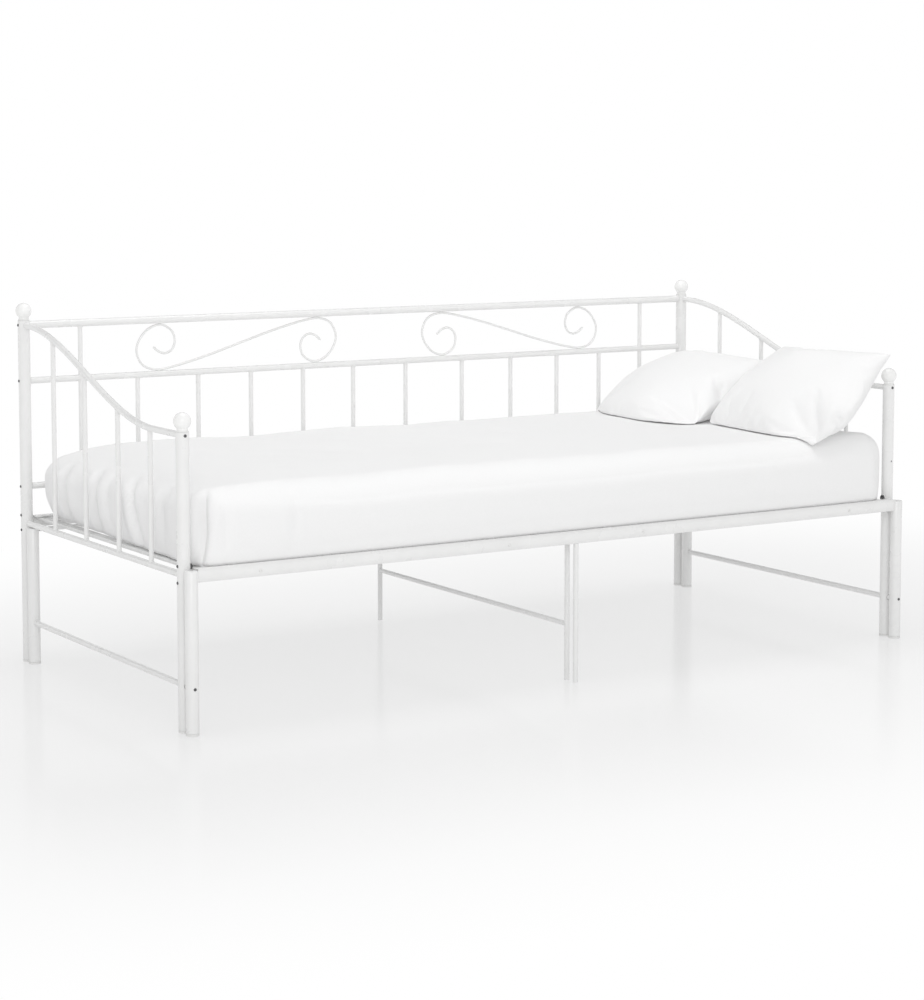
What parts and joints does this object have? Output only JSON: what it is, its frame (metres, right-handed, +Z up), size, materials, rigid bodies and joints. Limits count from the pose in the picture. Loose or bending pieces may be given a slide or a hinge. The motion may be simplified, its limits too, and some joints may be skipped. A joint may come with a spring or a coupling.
{
  "type": "pull-out daybed",
  "caption": "White steel daybed with scrolled back panel, S-curved arms and ball finials; a slatted frame on its own legs slides out to the front. With mattress and pillows.",
  "frame": {"origin": "on the floor, at the middle of the bed's bounding box at rest", "axes": "X along the bed's length, -Y towards the open front that the pull-out slides to, +Y towards the back panel, +Z up"},
  "size_m": [2.0796, 0.9703, 0.901],
  "materials": {
    "powder_coat": "satin white powder coat on steel tube",
    "gloss_white": "gloss white moulded ball",
    "grey_plastic": "matte pale grey foot cap",
    "bare_steel": "bare steel, hidden in the rails",
    "white_sheet": "white cotton fitted sheet",
    "white_pillow": "white cotton pillowcase"
  },
  "bodies": {
    "frame": {"post_back_left": "powder_coat", "finial_back_left": "gloss_white", "foot_back_left": "grey_plastic", "post_back_right": "powder_coat", "finial_back_right": "gloss_white", "foot_back_right": "grey_plastic", "post_front_left": "powder_coat", "finial_front_left": "gloss_white", "foot_front_left": "grey_plastic", "post_front_right": "powder_coat", "finial_front_right": "gloss_white", "foot_front_right": "grey_plastic", "back_panel_left": "powder_coat", "scroll_left": "powder_coat", "side_panel_left": "powder_coat", "side_rail_left": "powder_coat", "back_panel_right": "powder_coat", "scroll_right": "powder_coat", "side_panel_right": "powder_coat", "side_rail_right": "powder_coat", "spigot_top": "bare_steel", "spigot_middle": "bare_steel", "spigot_lower": "bare_steel", "rear_rail": "powder_coat", "front_crossbar": "powder_coat", "fixed_slat_1": "powder_coat", "fixed_slat_2": "powder_coat", "fixed_slat_3": "powder_coat", "fixed_slat_4": "powder_coat", "fixed_slat_5": "powder_coat", "fixed_slat_6": "powder_coat", "fixed_slat_7": "powder_coat", "centre_leg_back": "powder_coat", "centre_leg_front": "powder_coat", "centre_stretcher": "powder_coat"},
    "pullout": {"front_rail": "powder_coat", "rear_crossbar": "powder_coat", "pull_centre_leg": "powder_coat", "pull_leg_rear_left": "powder_coat", "pull_foot_rear_left": "grey_plastic", "pull_leg_rear_right": "powder_coat", "pull_foot_rear_right": "grey_plastic", "pull_leg_front_left": "powder_coat", "pull_foot_front_left": "grey_plastic", "pull_leg_front_right": "powder_coat", "pull_foot_front_right": "grey_plastic", "side_stretcher_left": "powder_coat", "side_stretcher_right": "powder_coat", "pull_slat_1": "powder_coat", "pull_slat_2": "powder_coat", "pull_slat_3": "powder_coat", "pull_slat_4": "powder_coat", "pull_slat_5": "powder_coat", "pull_slat_6": "powder_coat", "pull_slat_7": "powder_coat", "pull_slat_8": "powder_coat"},
    "mattress": {"mattress": "white_sheet"},
    "pillow_back": {"pillow_back": "white_pillow"},
    "pillow_front": {"pillow_front": "white_pillow"}
  },
  "joints": [
    {"name": "pullout_slide", "type": "slide", "parent": "frame", "child": "pullout", "axis": [0, -1, 0], "range_m": [0, 0.82]},
    {"name": "mattress_lift", "type": "slide", "parent": "frame", "child": "mattress", "axis": [0, 0, 1], "range_m": [0, 0.45]},
    {"name": "pillow_back_lift", "type": "slide", "parent": "mattress", "child": "pillow_back", "axis": [0, 0, 1], "range_m": [0, 0.35]},
    {"name": "pillow_front_lift", "type": "slide", "parent": "mattress", "child": "pillow_front", "axis": [0, 0, 1], "range_m": [0, 0.35]}
  ]
}
